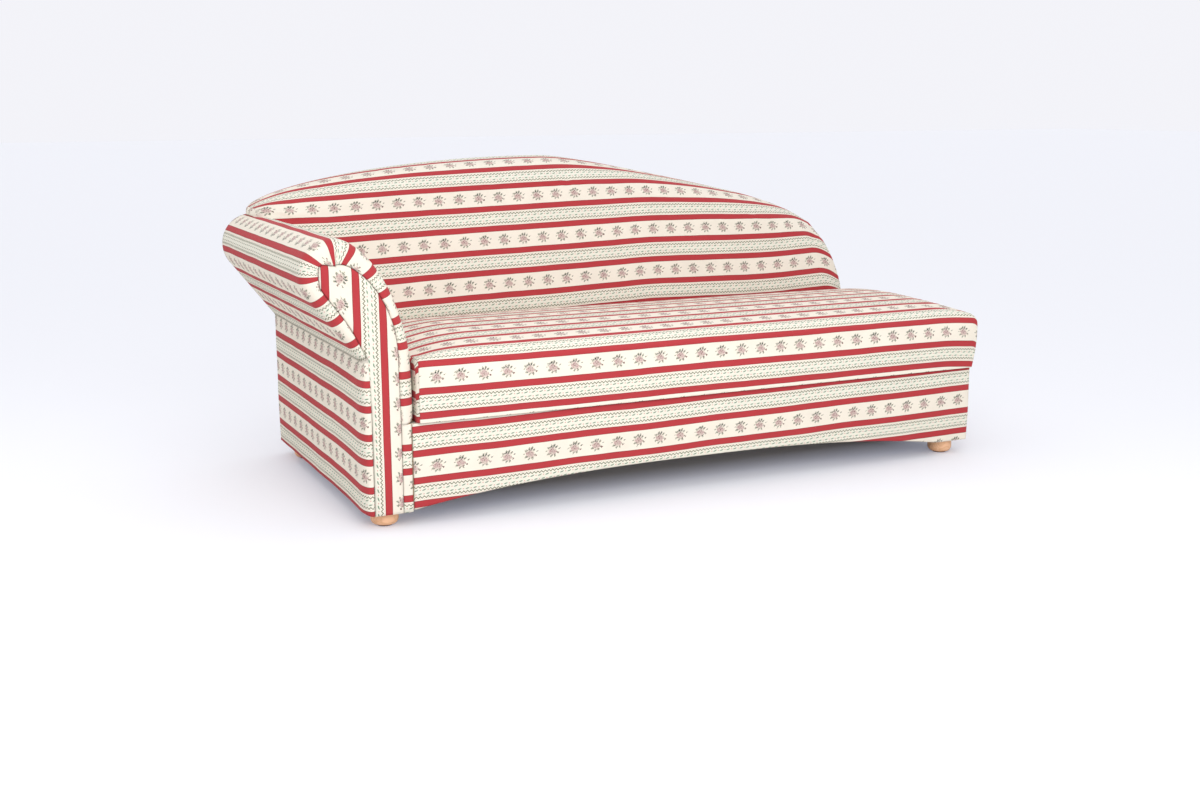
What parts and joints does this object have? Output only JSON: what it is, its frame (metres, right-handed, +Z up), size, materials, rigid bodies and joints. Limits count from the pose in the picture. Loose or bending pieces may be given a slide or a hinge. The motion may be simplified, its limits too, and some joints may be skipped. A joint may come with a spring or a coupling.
{
  "type": "sofa",
  "caption": "One-armed sofa with a scroll arm, an arched back that falls to a free end, a loose bench seat and short turned feet, in striped floral fabric.",
  "frame": {"origin": "middle of the footprint box, on the floor", "axes": "+X along the sofa from the arm to the free end, +Y from the front to the outside back, +Z up"},
  "size_m": [2.17, 0.982, 0.944],
  "materials": {
    "upholstery": "woven stripe, red bands on ivory with small sprigs",
    "beech": "turned, clear lacquer",
    "pine": "planed, unfinished",
    "hardboard": "pressed board",
    "webbing": "elastic woven strap",
    "hessian": "open jute weave",
    "steel": "zinc plated",
    "felt": "pressed felt"
  },
  "bodies": {
    "base": {"arm_bolt_front": "steel", "arm_bolt_rear": "steel", "arm_facing": "upholstery", "arm_front_board": "pine", "arm_front_strip": "upholstery", "arm_inner_rail": "pine", "arm_lining": "hardboard", "arm_outer_panel": "upholstery", "arm_outer_rail": "pine", "arm_pad": "upholstery", "arm_rear_board": "pine", "arm_rear_cover": "upholstery", "arm_roll_rail": "pine", "arm_waist_rail": "pine", "back_pad": "upholstery", "back_rib_1": "pine", "back_rib_2": "pine", "back_rib_3": "pine", "back_rib_4": "pine", "back_rib_5": "pine", "back_top_rail": "pine", "back_webbing": "webbing", "base_batten_front": "pine", "base_batten_rear": "pine", "base_bottom_panel": "hardboard", "base_cross_rail_left": "pine", "base_cross_rail_right": "pine", "base_end_cover": "upholstery", "base_end_rail_left": "pine", "base_end_rail_right": "pine", "base_front_cover": "upholstery", "base_front_rail": "pine", "base_mid_rail": "pine", "base_rear_rail": "pine", "foot_block_front_left": "pine", "foot_block_front_right": "pine", "foot_block_rear_left": "pine", "foot_block_rear_right": "pine", "foot_front_left": "beech", "foot_front_right": "beech", "foot_rear_left": "beech", "foot_rear_right": "beech", "glide_front_left": "felt", "glide_front_right": "felt", "glide_rear_left": "felt", "glide_rear_right": "felt", "outside_back_panel": "upholstery"},
    "seat": {"seat_cross_rail_left": "pine", "seat_cross_rail_right": "pine", "seat_cushion": "upholstery", "seat_dowel_left": "beech", "seat_dowel_right": "beech", "seat_end_rail_left": "pine", "seat_end_rail_right": "pine", "seat_front_rail": "pine", "seat_hessian": "hessian", "seat_rear_rail": "pine", "seat_webbing": "webbing"}
  },
  "joints": [
    {"name": "seat_lift", "type": "slide", "parent": "base", "child": "seat", "axis": [0, 0, 1], "range_m": [0, 0.7]}
  ]
}
